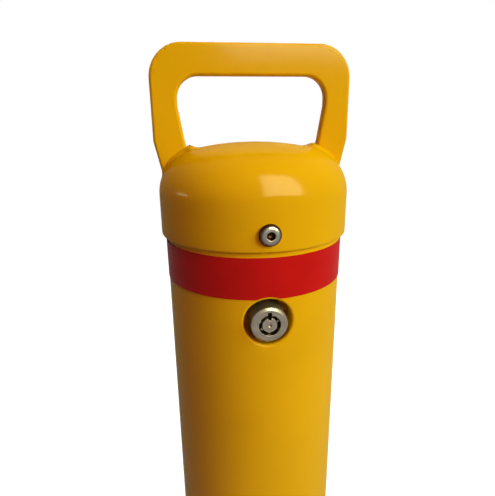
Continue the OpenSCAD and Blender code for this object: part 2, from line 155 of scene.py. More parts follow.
class BollardColours(bpy.types.PropertyGroup):
    """Colours of the finishes."""

    yellow: colour("Powder coat", "Traffic yellow powder coat", (0.81, 0.45, 0.001))
    red: colour("Reflective film", "Red reflective film", (0.55, 0.007, 0.005))
    nickel: colour("Nickel", "Dull nickel plate of the lock", (0.20, 0.160, 0.132))
    stainless: colour("Stainless steel", "Cap screws", (0.165, 0.138, 0.128))
    # Painted shade: this near-black colour darkens the screw heads' flanks and their hex sockets, where shade
    # falls.
    painted_screw_shade: colour("Painted screw shade", "Painted shade round and in the heads of the screws", (0.03, 0.012, 0.006))
    zinc: colour("Zinc", "Zinc-plated fittings", (0.55, 0.57, 0.60))
    steel: colour("Bare steel", "Drawn steel of the works inside", (0.30, 0.30, 0.31))
    black: colour("Black nylon", "Centring rings", (0.012, 0.012, 0.013))


class BollardView(bpy.types.PropertyGroup):
    """Camera of the reference view, and the light."""

    lens: number("Lens", "Focal length of the camera", 29.265)
    azimuth: degrees("Azimuth", "Side from which the camera sees the lock", 8.6)
    distance: length("Distance", "Level distance from the post's axis to the camera", 0.206)
    height: length("Height", "Height of the camera above the cap's rim", 0.0511)
    turn: degrees("Turn", "Turn of the camera away from the post's axis", 0.85)
    pitch: degrees("Pitch", "Downward tilt of the camera", 16.34)
    roll: degrees("Roll", "Clockwise roll of the camera", 0.73)
    ambient: number("Ambient", "Level of the light from all round", 0.01)
    key: number("Key", "Power of the lamp at the right in watts", 21.0)
    front: number("Front", "Power of the warm lamp in front in watts", 4.6)
    top: number("Top", "Power of the lamp above in watts", 6.6)
    back: number("Back", "Power of the lamp behind in watts", 45.0)
    window: number("Window", "Power in watts of the window that the gloss shows", 95.0)
    side_window: number("Side window", "Power in watts of the narrow window that the gloss shows", 1.5)


# Node trees


class NodeTree:
    """A node tree under construction."""

    def __init__(self, tree):
        self.tree = tree

    def add(self, kind, inputs=(), **settings):
        """Adds a node. inputs are pairs of a socket and a value or an output socket."""
        node = self.tree.nodes.new(kind)
        for key, value in settings.items():
            setattr(node, key, value)
        for socket, value in inputs:
            if isinstance(value, bpy.types.NodeSocket):
                self.tree.links.new(value, node.inputs[socket])
            else:
                node.inputs[socket].default_value = value
        return node

    def math(self, operation, *values):
        """One step of arithmetic."""
        return self.add("ShaderNodeMath", enumerate(values), operation=operation).outputs[0]

    def seen_rays(self):
        """One for what the camera sees, also in gloss or glass, and nought for the light on things."""
        path = self.add("ShaderNodeLightPath").outputs
        seen = self.math("MAXIMUM", path["Is Camera Ray"], path["Is Glossy Ray"])
        return self.math("MAXIMUM", seen, path["Is Transmission Ray"])


class PieceTree(NodeTree):
    """A Geometry Nodes tree with named inputs. It ends in real copies with their finish."""

    def __init__(self, name, inputs):
        super().__init__(bpy.data.node_groups.new(name, "GeometryNodeTree"))
        face = self.tree.interface
        face.new_socket("Geometry", in_out="INPUT", socket_type="NodeSocketGeometry")
        self.labels = {}
        for label, kind in [*inputs, ("Finish", "Material")]:
            socket = face.new_socket(label, in_out="INPUT", socket_type="NodeSocket" + kind)
            self.labels[label] = socket.identifier
        face.new_socket("Geometry", in_out="OUTPUT", socket_type="NodeSocketGeometry")
        self.inputs = self.tree.nodes.new("NodeGroupInput").outputs

    def close(self, geometry):
        """Ends the tree."""
        real = self.add("GeometryNodeRealizeInstances", [("Geometry", geometry)])
        done = self.add(
            "GeometryNodeSetMaterial", [("Geometry", real.outputs[0]), ("Material", self.inputs["Finish"])]
        )
        self.add("NodeGroupOutput", [(0, done.outputs[0])])

    def apply(self, piece, values):
        """Runs the tree on a piece and leaves a plain mesh."""
        modifier = piece.modifiers.new(self.tree.name, "NODES")
        modifier.node_group = self.tree
        for label, value in values.items():
            modifier[self.labels[label]] = value
        graph = bpy.context.evaluated_depsgraph_get()
        mesh = bpy.data.meshes.new_from_object(piece.evaluated_get(graph))
        piece.modifiers.remove(modifier)
        piece.data = mesh
        make_smooth(mesh)
        return piece


class Finish(NodeTree):
    """A material and its shader. Values that are the same all over are set on the shader's own sockets."""

    def __init__(self, name, **sockets):
        self.material = bpy.data.materials.new(name)
        self.material.use_nodes = True
        super().__init__(self.material.node_tree)
        self.shader = self.tree.nodes["Principled BSDF"]
        for socket, value in sockets.items():
            self.shader.inputs[socket.replace("_", " ")].default_value = value

    def point(self, scale=(1, 1, 1), location=(0, 0, 0)):
        """Object coordinates, scaled and shifted."""
        spot = self.add("ShaderNodeTexCoord").outputs["Object"]
        placed = self.add("ShaderNodeMapping", [("Vector", spot), ("Scale", scale), ("Location", location)])
        return placed.outputs["Vector"]

    def distance(self, point):
        """Distance of a point from the origin."""
        return self.add("ShaderNodeVectorMath", [(0, point)], operation="LENGTH").outputs["Value"]

    def noise(self, point, scale, detail=2.0, roughness=0.5):
        """A noise pattern whose features measure about 1 / scale metres."""
        inputs = [("Vector", point), ("Scale", scale), ("Detail", detail), ("Roughness", roughness)]
        return self.add("ShaderNodeTexNoise", inputs).outputs["Fac"]

    def rings(self, radius, scale):
        """The fine rings that a lathe leaves."""
        inputs = [("W", radius), ("Scale", scale), ("Detail", 3.0)]
        return self.add("ShaderNodeTexNoise", inputs, noise_dimensions="1D").outputs["Fac"]

    def spread(self, value, low, high, start=0.3, end=0.7):
        """Maps a pattern to a range of values."""
        inputs = [("Value", value), ("From Min", start), ("From Max", end), ("To Min", low), ("To Max", high)]
        return self.add("ShaderNodeMapRange", inputs).outputs["Result"]

    def blend(self, share, first, second):
        """Blends two colours."""
        return self.add("ShaderNodeMix", [(0, share), (6, first), (7, second)], data_type="RGBA").outputs[2]

    def mottle(self, pattern, rgb, dark, light, start=0.3, end=0.7):
        """A colour that a pattern makes darker and lighter."""
        share = self.spread(pattern, 0.0, 1.0, start, end)
        return self.blend(share, (*shade(rgb, dark), 1), (*shade(rgb, light), 1))

    def drive(self, socket, value):
        """Joins a value to a socket of the shader."""
        self.tree.links.new(value, self.shader.inputs[socket])

    def bump(self, height, strength, distance):
        """Joins a height pattern to the shader's normals."""
        inputs = [("Height", height), ("Strength", strength), ("Distance", distance)]
        node = self.add("ShaderNodeBump", inputs)
        self.drive("Normal", node.outputs["Normal"])
        if self.shader.inputs["Coat Weight"].default_value:
            self.drive("Coat Normal", node.outputs["Normal"])


# Finishes


def shade(rgb, factor):
    """A colour made lighter or darker."""
    return tuple(min(1.0, c * factor) for c in rgb)


def powder_coat(rgb):
    """Gloss powder coat with a faint orange peel and slight changes of film thickness."""
    finish = Finish(
        "yellow_powder_coat", Specular_IOR_Level=0.0, Coat_Weight=0.09, Coat_Roughness=0.13, Coat_IOR=1.5
    )
    point = finish.point()
    finish.drive("Base Color", finish.mottle(finish.noise(point, 22.0, 3.0), rgb, 0.955, 1.03))
    finish.drive("Roughness", finish.spread(finish.noise(point, 60.0, 3.0), 0.15, 0.24))
    finish.bump(finish.noise(point, 420.0, 2.0, 0.4), 0.06, 0.0004)
    return finish.material


def reflective_film(rgb):
    """Red retroreflective film: glass beads under a clear, slightly soft face."""
    finish = Finish("red_reflective_film", Specular_IOR_Level=0.0, Coat_Weight=0.12, Coat_Roughness=0.22)
    point = finish.point()
    beads = finish.add("ShaderNodeTexVoronoi", [("Vector", point), ("Scale", 2600.0)]).outputs["Distance"]
    finish.drive("Base Color", finish.mottle(finish.noise(point, 45.0), rgb, 0.93, 1.06))
    finish.drive("Roughness", finish.spread(beads, 0.34, 0.46, 0.0, 0.6))
    finish.bump(beads, 0.12, 0.0001)
    return finish.material


def nickel_plate(rgb, centre):
    """Dull nickel with the fine rings that a lathe leaves about the axis through centre, along Y."""
    finish = Finish("nickel_plated_brass", Metallic=1.0)
    point = finish.point(location=tuple(-c for c in centre))
    flat = finish.add("ShaderNodeVectorMath", [(0, point), (1, (1.0, 0.0, 1.0))], operation="MULTIPLY")
    marks = finish.rings(finish.distance(flat.outputs["Vector"]), 2600.0)
    finish.drive("Base Color", finish.mottle(finish.noise(point, 380.0, 4.0, 0.6), rgb, 0.72, 1.08))
    finish.drive("Roughness", finish.spread(marks, 0.26, 0.46))
    finish.bump(marks, 0.25, 0.00006)
    return finish.material


def screw_steel(rgb, painted_screw_shade):
    """Stainless steel turned about each screw's axis, with painted shade on the head's flank and in its
    socket.
    """
    finish = Finish("stainless_steel", Metallic=1.0)
    radius = finish.add("ShaderNodeAttribute", attribute_name=AXIS_DISTANCE).outputs["Fac"]
    marks = finish.rings(radius, 3500.0)
    stains = finish.noise(finish.point(), 420.0, 4.0, 0.6)
    metal = finish.mottle(stains, rgb, 0.8, 1.15)
    # Painted shade: a dark colour is laid on the head's flank and in the hex socket, where shade falls. The
    # stain noise makes the flank's edge uneven.
    unevenness = 1.2 * MM
    flank_start, flank_full = 3.9 * MM, 4.8 * MM
    socket_full, socket_end = 1.75 * MM, 2.0 * MM
    uneven_radius = finish.math("ADD", radius, finish.math("MULTIPLY", stains, unevenness))
    flank = finish.spread(uneven_radius, 0.0, 1.0, flank_start, flank_full)
    socket = finish.spread(radius, 1.0, 0.0, socket_full, socket_end)
    painted_shade_share = finish.math("MAXIMUM", flank, socket)
    finish.drive("Base Color", finish.blend(painted_shade_share, metal, (*painted_screw_shade, 1)))
    finish.drive("Roughness", finish.spread(marks, 0.24, 0.4))
    finish.bump(marks, 0.25, 0.00006)
    return finish.material


def drawn_steel(name, rgb, stretch=(900, 900, 18), low=0.3, high=0.5):
    """Bare or plated steel with streaks along the way it was drawn."""
    finish = Finish(name, Metallic=1.0)
    streaks = finish.noise(finish.point(scale=stretch), 1.0, 3.0, 0.6)
    stains = finish.noise(finish.point(), 130.0, 3.0, 0.55)
    finish.drive("Base Color", finish.mottle(stains, rgb, 0.78, 1.1))
    finish.drive("Roughness", finish.spread(streaks, low, high))
    finish.bump(streaks, 0.15, 0.00008)
    return finish.material


def moulded_nylon(rgb):
    """Black nylon with a fine moulded grain."""
    finish = Finish("black_plastic", Specular_IOR_Level=0.2)
    grain = finish.noise(finish.point(), 1500.0)
    finish.drive("Base Color", finish.mottle(grain, rgb, 0.8, 1.3, 0.0, 1.0))
    finish.drive("Roughness", finish.spread(grain, 0.42, 0.6))
    finish.bump(grain, 0.2, 0.0001)
    return finish.material


def make_finishes():
    """All finishes, by the record's slot name."""
    colours = bpy.context.scene.bollard_colours
    lock_axis = (0, 0, bpy.context.scene.bollard_sizes.lock_height)
    return {
        "yellow_powder_coat": powder_coat(colours.yellow[:]),
        "red_reflective_film": reflective_film(colours.red[:]),
        "nickel_plated_brass": nickel_plate(colours.nickel[:], lock_axis),
        "stainless_steel": screw_steel(colours.stainless[:], colours.painted_screw_shade[:]),
        "zinc_plated_steel": drawn_steel("zinc_plated_steel", colours.zinc[:], (260, 260, 260), 0.25, 0.42),
        "bare_steel": drawn_steel("bare_steel", colours.steel[:]),
        "spring_steel": drawn_steel("spring_steel", shade(colours.steel[:], 0.6), (400, 400, 400), 0.35),
        "black_plastic": moulded_nylon(colours.black[:]),
    }


FINISHES = {}
SLOTS = {part["node"]: part["material_slot"] for part in frame["record"]["subparts"]}


def finish_of(slot):
    """The finish for a slot of the record, made on first use."""
    if not FINISHES:
        FINISHES.update(make_finishes())
    return FINISHES[slot]


# Meshes


def make_smooth(mesh):
    """Shades all faces of a mesh smooth."""
    mesh.polygons.foreach_set("use_smooth", [True] * len(mesh.polygons))


def mesh_object(name, verts, faces, slot):
    """A smooth mesh piece with its finish, in place."""
    mesh = bpy.data.meshes.new(name)
    mesh.from_pydata([tuple(v) for v in verts], [], faces)
    mesh.validate()
    piece = bpy.data.objects.new(name, mesh)
    bpy.context.scene.collection.objects.link(piece)
    make_smooth(mesh)
    mesh.materials.append(finish_of(slot))
    return piece


def tidy_mesh(piece):
    """Merges doubles and turns all faces outwards."""
    bm = bmesh.new()
    bm.from_mesh(piece.data)
    bmesh.ops.remove_doubles(bm, verts=bm.verts, dist=MERGE_DISTANCE)
    bmesh.ops.recalc_face_normals(bm, faces=bm.faces)
    bm.to_mesh(piece.data)
    bm.free()
    return piece


def settle(piece, body, nodes):
    """Rides the piece on its body and the CAD nodes it stands for."""
    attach(piece, body)
    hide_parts(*nodes)
    return piece


def revolve(name, profile, slot, segments):
    """Turns an open profile of (radius, height) points about the Z axis."""
    n = len(profile)
    verts, faces = [], []
    for k in range(segments):
        after = (k + 1) % segments
        a = 2 * math.pi * k / segments
        verts += [(r * math.cos(a), r * math.sin(a), z) for r, z in profile]
        faces += [(k * n + i, after * n + i, after * n + i + 1, k * n + i + 1) for i in range(n - 1)]
    return tidy_mesh(mesh_object(name, verts, faces, slot))


def arc(cx, cy, r, start, end, steps):
    """Points on an arc, from one angle to another in degrees."""
    turns = np.radians(np.linspace(start, end, steps + 1))
    return [(cx + r * math.cos(a), cy + r * math.sin(a)) for a in turns]


def keep_flats(piece):
    """Lets large flat faces keep their shading beside rounded edges."""
    piece.modifiers.new("flat faces", "WEIGHTED_NORMAL").keep_sharp = True


def eased(node, width, segments=2):
    """A copy of a CAD node with eased edges, which stands for the node."""
    source = frame["nodes"][node]
    mesh = source.data.copy()
    mesh.name = node + "_finished"
    piece = bpy.data.objects.new(node + "_finished", mesh)
    bpy.context.scene.collection.objects.link(piece)
    bm = bmesh.new()
    bm.from_mesh(mesh)
    bmesh.ops.remove_doubles(bm, verts=bm.verts, dist=CAD_MERGE_DISTANCE)
    bmesh.ops.dissolve_limit(bm, angle_limit=FLAT_ANGLE, verts=bm.verts, edges=bm.edges)
    bm.to_mesh(mesh)
    bm.free()
    make_smooth(mesh)
    mesh.materials.clear()
    mesh.materials.append(finish_of(SLOTS[node]))
    bevel = piece.modifiers.new("eased edges", "BEVEL")
    bevel.width = width
    bevel.segments = segments
    bevel.limit_method = "ANGLE"
    bevel.angle_limit = EDGE_ANGLE
    bevel.miter_outer = "MITER_ARC"
    bevel.use_clamp_overlap = True
    keep_flats(piece)
    return settle(piece, source["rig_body"], [node])


def eased_all(widths):
    """Eases the edges of several CAD nodes, by widths in millimetres."""
    for node, width in widths.items():
        eased(node, width * MM)


# Dome of the cap


def dome_circles():
    """Radius and centre height of the crown, centre of the shoulder, and lean of the line that joins them."""
    sizes = bpy.context.scene.bollard_sizes
    shoulder_x = CAP_HIGH.x - sizes.cap_shoulder
    rise = (CAP_HIGH.z - CAP_LOW.z) - sizes.cap_skirt
    crown = (shoulder_x**2 + rise**2 - sizes.cap_shoulder**2) / (2 * (rise - sizes.cap_shoulder))
    centre = CAP_HIGH.z - crown
    lean = math.atan2(shoulder_x, CAP_LOW.z + sizes.cap_skirt - centre)
    return crown, centre, shoulder_x, lean


def dome_height(radius):
    """Height of the cap's outer face above the ground at a distance from the axis."""
    sizes = bpy.context.scene.bollard_sizes
    crown, centre, shoulder_x, lean = dome_circles()
    if radius < crown * math.sin(lean):
        return centre + math.sqrt(crown**2 - radius**2)
    fall = max(0.0, sizes.cap_shoulder**2 - (radius - shoulder_x) ** 2)
    return CAP_LOW.z + sizes.cap_skirt + math.sqrt(fall)


# Operators


class BOLLARD_OT_stage(bpy.types.Operator):
    """Sets the floor, the lights and the camera of the reference view"""

    bl_idname = "bollard.stage"
    bl_label = "Stage and camera"
    floor_width = 40
    near_glow = 0.76
    fade_start = 0.15
    fade_end = 0.5

    def execute(self, context):
        self.add_floor()
        self.add_world(context)
        self.add_lights(context)
        self.add_camera(context)
        return {"FINISHED"}

    def add_floor(self):
        """A pale floor that grows white away from the post, and keeps the post's shadow."""
        bpy.ops.mesh.primitive_plane_add(size=self.floor_width)
        floor = bpy.context.object
        floor.name = "floor"
        finish = Finish(
            "pale_floor", Base_Color=(0.35, 0.35, 0.35, 1), Roughness=0.9, Specular_IOR_Level=0.0
        )
        distance = finish.distance(finish.point())
        level = finish.spread(distance, self.near_glow, 1.0, self.fade_start, self.fade_end)
        strength = finish.math("MULTIPLY", level, finish.seen_rays())
        glow = finish.add("ShaderNodeEmission", [("Color", (1, 1, 1, 1)), ("Strength", strength)])
        both = finish.add("ShaderNodeAddShader", [(0, finish.shader.outputs[0]), (1, glow.outputs[0])])
        finish.tree.links.new(both.outputs[0], finish.tree.nodes["Material Output"].inputs["Surface"])
        floor.data.materials.append(finish.material)

    def add_world(self, context):
        """White behind the post and in its gloss, with only a faint light of its own."""
        world = bpy.data.worlds.new("studio")
        context.scene.world = world
        world.use_nodes = True
        build = NodeTree(world.node_tree)
        ambient = context.scene.bollard_view.ambient
        level = build.add(
            "ShaderNodeMapRange", [("Value", build.seen_rays()), ("To Min", ambient), ("To Max", 1.0)]
        )
        background = build.tree.nodes["Background"]
        build.tree.links.new(level.outputs["Result"], background.inputs["Strength"])
        background.inputs["Color"].default_value = (1, 1, 1, 1)

    def add_lights(self, context):
        """Soft lamps light the surfaces, and two windows are there for the gloss alone.

        A place is measured from the middle of the cap's rim. A lamp without a heading faces the post.
        """
        view = context.scene.bollard_view
        cool, warm, mild = (0.88, 1.0, 0.9), (1.0, 0.28, 0.15), (1.0, 0.84, 0.5)
        clear, white = (0.86, 1.0, 0.6), (1.0, 1.0, 1.0)
        for name, place, heading, width, height, power, tint, gloss in (
            ("key", (0.96, -0.96, 0.63), None, 0.9, 0.9, view.key, cool, False),
            ("front", (0.17, -1.20, 0.49), None, 0.43, 0.43, view.front, warm, False),
            ("top", (-0.45, 0.16, 1.32), None, 0.62, 0.62, view.top, mild, False),
            ("back", (0.38, 2.38, 0.65), None, 1.5, 1.5, view.back, white, False),
            ("window", (0.45, -0.70, 0.75), (0, 1, 0), 0.80, 1.1, view.window, clear, True),
            ("side window", (-0.95, 0.12, 0.095), (1, 0, 0), 0.3, 0.05, view.side_window, clear, True),
        ):
            data = bpy.data.lights.new(name, "AREA")
            data.shape = "RECTANGLE"
            data.size = width
            data.size_y = height
            data.energy = power
            data.color = tint
            lamp = bpy.data.objects.new(name, data)
            context.scene.collection.objects.link(lamp)
            lamp.visible_glossy = gloss
            lamp.visible_diffuse = not gloss
            lamp.location = Vector(place) + Vector((0, 0, CAP_LOW.z))
            faces = Vector(heading) if heading else -Vector(place)
            lamp.rotation_euler = faces.to_track_quat("-Z", "Y").to_euler()

    def add_camera(self, context):
        """The camera of the reference view."""
        view = context.scene.bollard_view
        data = bpy.data.cameras.new("camera")
        data.lens = view.lens
        data.sensor_width = 36.0
        data.clip_start = 0.01
        camera = bpy.data.objects.new("camera", data)
        context.scene.collection.objects.link(camera)
        heading = view.azimuth - view.turn
        level = Vector((math.sin(heading), math.cos(heading), 0))
        forward = level * math.cos(view.pitch) - Vector((0, 0, math.sin(view.pitch)))
        right = forward.cross(Vector((0, 0, 1))).normalized()
        up = right.cross(forward)
        rolled_right = right * math.cos(view.roll) - up * math.sin(view.roll)
        rolled_up = up * math.cos(view.roll) + right * math.sin(view.roll)
        place = Vector((-math.sin(view.azimuth), -math.cos(view.azimuth), 0)) * view.distance
        place.z = CAP_LOW.z + view.height
        turned = Matrix((rolled_right, rolled_up, -forward)).transposed().to_4x4()
        camera.matrix_world = Matrix.Translation(place) @ turned
        context.scene.camera = camera
        context.scene.view_settings.view_transform = "Standard"


class BOLLARD_OT_post_tube(bpy.types.Operator):
    """Makes the post tube, with the rolled edge of its lock hole"""

    bl_idname = "bollard.post_tube"
    bl_label = "Post tube"
    # The wall's mesh: a square patch round the hole, columns round the rest, rows below and above.
    half_side = 12
    patch = 19 * MM
    column_turn = math.radians(3.5)
    rows_below = 9
    below = 30 * MM
    above = 12 * MM
    # How far each ring has gone over from the patch's border to the round hole.
    ring_shares = (0.22, 0.42, 0.6, 0.75, 0.87, 0.95, 1.0)
    lip_steps = 5
    # Inset and rise of the rings at the tube's foot, as shares of the easing.
    end_ease = 0.8 * MM
    end_shares = ((0.25, 0.3), (0.8, 0.0))

    def execute(self, context):
        sizes = context.scene.bollard_sizes
        self.verts, self.faces = [], []
        outer = self.skin(sizes, sizes.tube_radius, sizes.hole_lip)
        inner = self.skin(sizes, sizes.tube_radius - sizes.tube_wall, 0.0)
        for outer_ring, inner_ring in zip(outer, inner):
            self.join(outer_ring, inner_ring)
        piece = mesh_object("post_tube_coated", self.verts, self.faces, "yellow_powder_coat")
        settle(tidy_mesh(piece), "post", ["post_tube"])
        return {"FINISHED"}

    def join(self, ring, other):
        """Joins two rings of points with the same count by faces."""
        for i in range(len(ring)):
            j = (i + 1) % len(ring)
            self.faces.append((ring[i], ring[j], other[j], other[i]))

    def ring(self, points):
        """Adds points and gives their numbers."""
        start = len(self.verts)
        self.verts.extend(points)
        return list(range(start, len(self.verts)))

    def skin(self, sizes, radius, lip):
        """One face of the wall, with a square patch round the hole. Gives its lower, upper and hole rings."""
        turns = self.columns(sizes)
        rows, first = self.wall(sizes, radius, turns)
        hole = self.hole(sizes, radius, lip, self.patch_border(rows, first))
        return self.lower_end(rows[0], radius, 1 if lip else -1, turns), rows[-1], hole

    def columns(self, sizes):
        """Turns of the tube's columns, fine across the patch and even round the rest."""
        m = self.half_side
        front = [math.asin(self.patch * k / m / sizes.tube_radius) for k in range(-m, m + 1)]
        gap = 2 * math.pi - 2 * front[-1]
        count = round(gap / self.column_turn)
        return front + [front[-1] + gap * k / count for k in range(1, count)]

    def wall(self, sizes, radius, turns):
        """Rows of points up the tube, faced everywhere but in the patch, and the number of its first row."""
        h, m, lock = self.patch, self.half_side, sizes.lock_height
        low = list(np.linspace(TUBE_LOW.z + self.end_ease, lock - h - self.below, self.rows_below))
        side = [lock + h * k / m for k in range(-m, m + 1)]
        rows = [
            self.ring([(radius * math.sin(t), -radius * math.cos(t), z) for t in turns])
            for z in low + side + [lock + h + self.above, TUBE_HIGH.z]
        ]
        first = len(low)
        for row, (lower, upper) in enumerate(zip(rows, rows[1:])):
            for column in range(len(turns)):
                if not (first <= row < first + 2 * m and column < 2 * m):
                    after = (column + 1) % len(turns)
                    self.faces.append((lower[column], lower[after], upper[after], upper[column]))
        return rows, first

    def patch_border(self, rows, first):
        """Points round the patch: up its right side, along the top, down the left side and back."""
        n = 2 * self.half_side
        right = [rows[first + k][n] for k in range(n)]
        top = [rows[first + n][k] for k in range(n, 0, -1)]
        left = [rows[first + k][0] for k in range(n, 0, -1)]
        bottom = [rows[first][k] for k in range(n)]
        return right + top + left + bottom

    def hole(self, sizes, radius, lip, border):
        """Rings from the patch's border to the round hole, and round its rolled edge. Gives the last ring."""
        lock = sizes.lock_height
        spots = [(self.verts[i][0], self.verts[i][2] - lock) for i in border]
        turned = [math.atan2(z, x) for x, z in spots]
        edge = sizes.hole_radius + lip
        last = border
        rings = [(edge, 0.0, share) for share in self.ring_shares]
        if lip:
            for k in range(1, self.lip_steps + 1):
                a = math.radians(90 * k / self.lip_steps)
                rings.append((edge - lip * math.sin(a), lip * (1 - math.cos(a)), 1.0))
        for reach, depth, share in rings:
            points = []
            for (x, z), turn in zip(spots, turned):
                px = x + (reach * math.cos(turn) - x) * share
                pz = z + (reach * math.sin(turn) - z) * share
                points.append((px, -math.sqrt(radius**2 - px**2) + depth, lock + pz))
            following = self.ring(points)
            self.join(last, following)
            last = following
        return last

    def lower_end(self, lower, radius, sign, turns):
        """Rings that ease the tube's lower edge. Gives the last one."""
        for inset, rise in self.end_shares:
            r = radius - sign * inset * self.end_ease
            z = TUBE_LOW.z + rise * self.end_ease
            following = self.ring([(r * math.sin(t), -r * math.cos(t), z) for t in turns])
            self.join(lower, following)
            lower = following
        return lower


class BOLLARD_OT_reflective_band(bpy.types.Operator):
    """Wraps the red film round the tube, its ends lapped at the back"""

    bl_idname = "bollard.reflective_band"
    bl_label = "Reflective band"
    # The lap at the back, where the film's end runs up over its start.
    lap = math.radians(14)
    ramp = math.radians(3)
    ramp_ahead = math.radians(2)
    glue = 0.03 * MM
    lap_glue = 0.02 * MM
    top_trim = 0.3 * MM
    notch_gap = 0.1 * MM
    ease_share = 0.25
    left_steps = 110
    notch_steps = 36
    right_steps = 120

    def execute(self, context):
        sizes = context.scene.bollard_sizes
        notch = sizes.hole_radius + sizes.hole_lip + self.notch_gap
        sections = [self.section(sizes, turn, notch) for turn in self.turns(sizes, notch)]
        n = len(sections[0])
        last = (len(sections) - 1) * n
        faces = [
            (start + i, start + n + i, start + n + (i + 1) % n, start + (i + 1) % n)
            for start in range(0, last, n)
            for i in range(n)
        ]
        faces.append(tuple(range(n)))
        faces.append(tuple(last + i for i in reversed(range(n))))
        verts = [vert for section in sections for vert in section]
        piece = tidy_mesh(mesh_object("reflective_film", verts, faces, "red_reflective_film"))
        piece.modifiers.new("flat faces", "WEIGHTED_NORMAL")
        settle(piece, "post", ["reflective_band"])
        return {"FINISHED"}

    def turns(self, sizes, notch):
        """Turns of the sections, from the back round by the front to the lap, close together at the notch."""
        drop = BAND_LOW.z - sizes.lock_height
        half_notch = math.asin(math.sqrt(notch**2 - drop**2) / sizes.tube_radius)
        back, front = math.pi, 2 * math.pi
        return [
            *np.linspace(back, front - half_notch, self.left_steps, endpoint=False),
            *np.linspace(front - half_notch, front + half_notch, self.notch_steps, endpoint=False),
            *np.linspace(front + half_notch, 3 * math.pi + self.lap, self.right_steps),
        ]

    def section(self, sizes, turn, notch):
        """Points round the film's section at one turn, its lower edge cut out over the lock hole."""
        side = sizes.tube_radius * math.sin(turn)
        rise = math.sqrt(max(0.0, notch**2 - side**2)) if math.cos(turn) > 0 else 0.0
        low = max(BAND_LOW.z, sizes.lock_height + rise)
        high = BAND_HIGH.z - self.top_trim
        over = max(0.0, min(1.0, (turn - 3 * math.pi + self.ramp_ahead) / self.ramp))
        inner = sizes.tube_radius + self.glue + over * (sizes.film + self.lap_glue)
        outer = inner + sizes.film
        ease = self.ease_share * sizes.film
        outline = (
            (inner, low), (outer - ease, low), (outer, low + ease),
            (outer, high - ease), (outer - ease, high), (inner, high),
        )
        return [(r * math.sin(turn), -r * math.cos(turn), z) for r, z in outline]


class BOLLARD_OT_cap(bpy.types.Operator):
    """Makes the pressed cap, with its rounded rim"""

    bl_idname = "bollard.cap"
    bl_label = "Cap"
    inner_ease = 0.3 * MM
    around = 192
    skirt_points = 6
    shoulder_steps = 14
    crown_steps = 26
    rim_steps = 6

    def execute(self, context):
        sizes = context.scene.bollard_sizes
        wall, rim = sizes.cap_wall, sizes.cap_rim
        low = CAP_LOW.z + sizes.cap_lift
        outside = self.skin(sizes, 0, low + rim)
        rim_arc = arc(CAP_HIGH.x - rim, low + rim, rim, 0, -90, self.rim_steps)[1:]
        foot = [(CAP_HIGH.x - wall + self.inner_ease, low)]
        inside = self.skin(sizes, wall, low + self.inner_ease)
        profile = outside + rim_arc + foot + inside[::-1]
        piece = revolve("cap_pressing", profile, "yellow_powder_coat", self.around)
        settle(piece, "post", ["cap"])
        return {"FINISHED"}

    def skin(self, sizes, inset, low):
        """Profile of one face of the wall, from the top of the dome down the skirt."""
        crown, centre, shoulder_x, lean = dome_circles()
        top = CAP_LOW.z + sizes.cap_skirt
        join = 90 - math.degrees(lean)
        skirt = [(CAP_HIGH.x - inset, z) for z in np.linspace(top, low, self.skirt_points)]
        shoulder = arc(shoulder_x, top, sizes.cap_shoulder - inset, join, 0, self.shoulder_steps)
        dome = arc(0, centre, crown - inset, 90, join, self.crown_steps)
        dome[0] = (0.0, dome[0][1])
        return dome[:-1] + shoulder[:-1] + skirt


